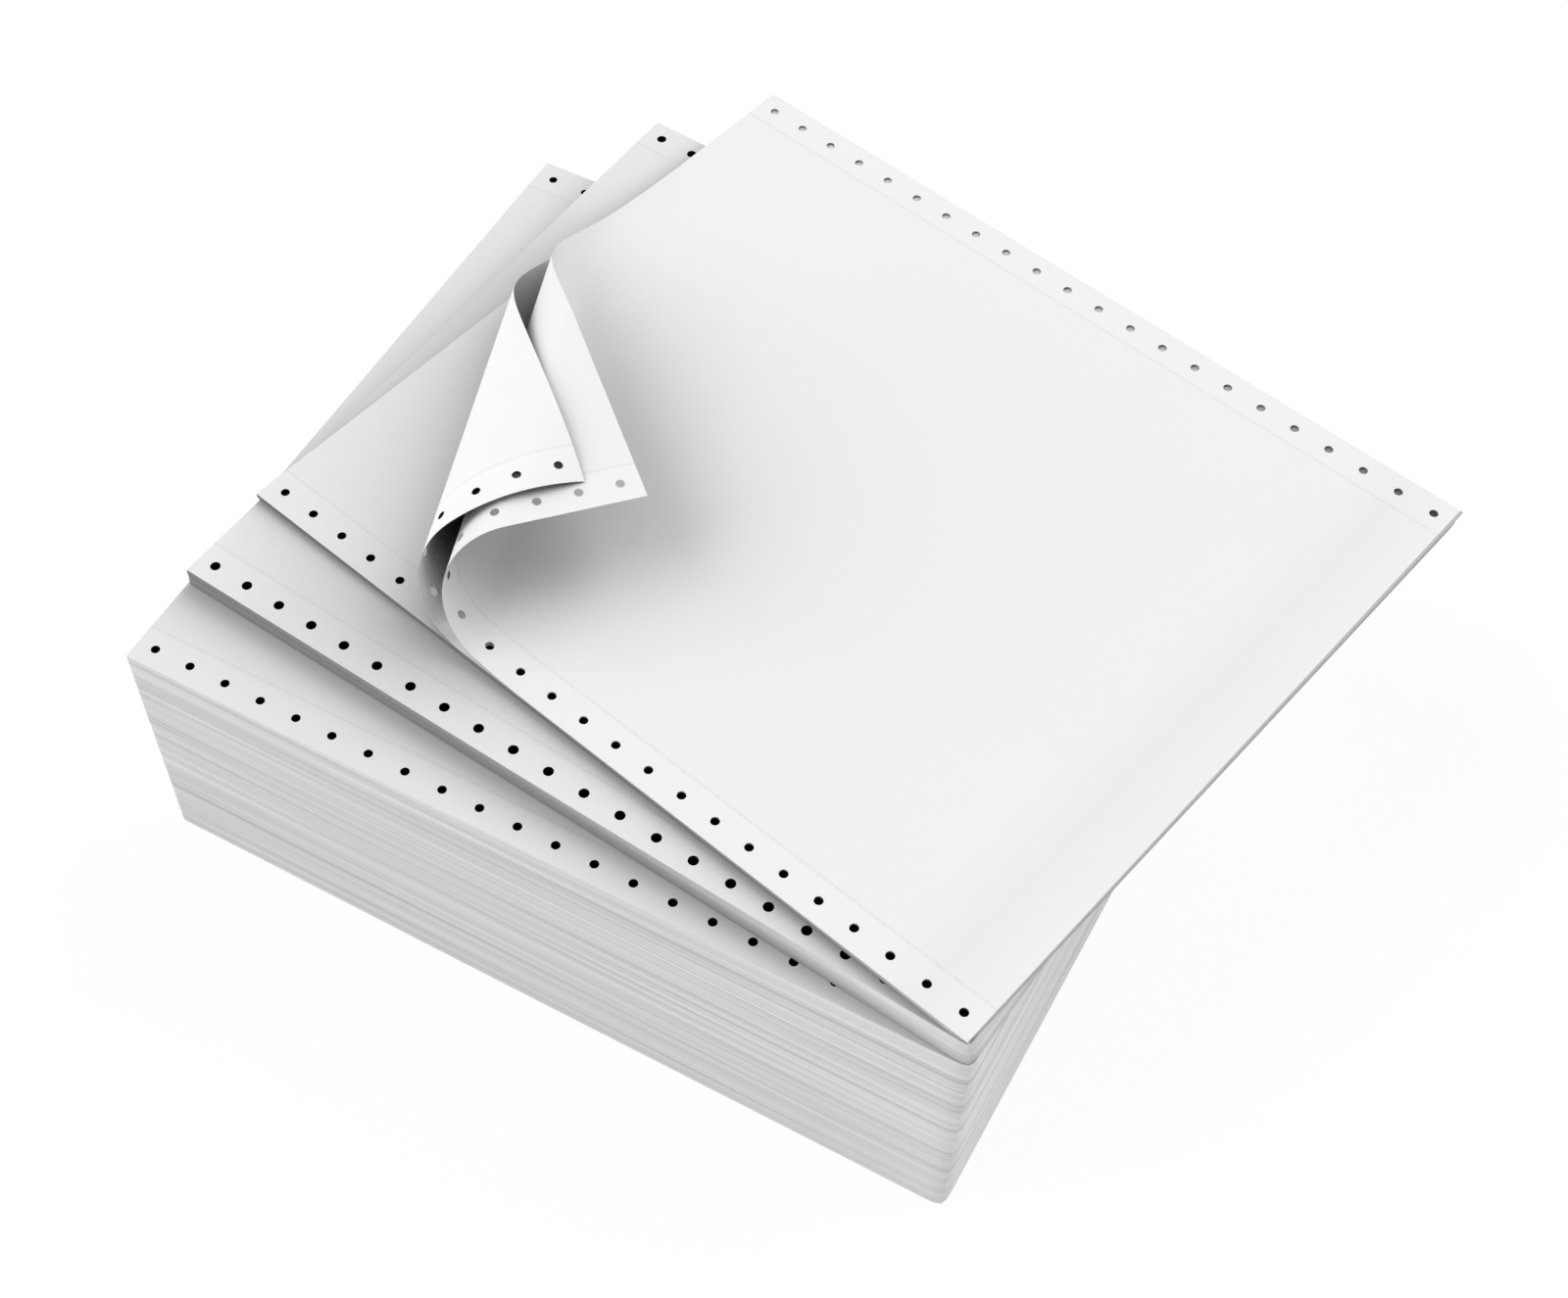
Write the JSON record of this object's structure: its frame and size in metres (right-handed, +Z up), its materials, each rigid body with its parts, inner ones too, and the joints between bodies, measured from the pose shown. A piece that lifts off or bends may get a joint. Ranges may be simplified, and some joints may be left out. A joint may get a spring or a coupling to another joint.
{
  "type": "computer paper",
  "caption": "Fan-folded continuous printer paper: a tall pack with thinner sheaves fanned on top, feed holes along both edges, and the top plies' front corner rolled back.",
  "frame": {"origin": "centre of the pack's underside, where it rests", "axes": "+Z up; +X along the front edge, from fold to fold of the pack; +Y from the front edge to the back edge, square to the rows of feed holes"},
  "size_m": [0.3295, 0.3001, 0.1363],
  "materials": {
    "pack_paper": "matt uncoated white paper, greyer on the stacked leaf edges",
    "ply_paper": "matt uncoated white paper"
  },
  "bodies": {
    "root": {"pack": "pack_paper", "turned_sheaf": "pack_paper", "loose_sheaf": "pack_paper", "middle_ply": "ply_paper", "top_ply": "ply_paper"}
  },
  "joints": []
}
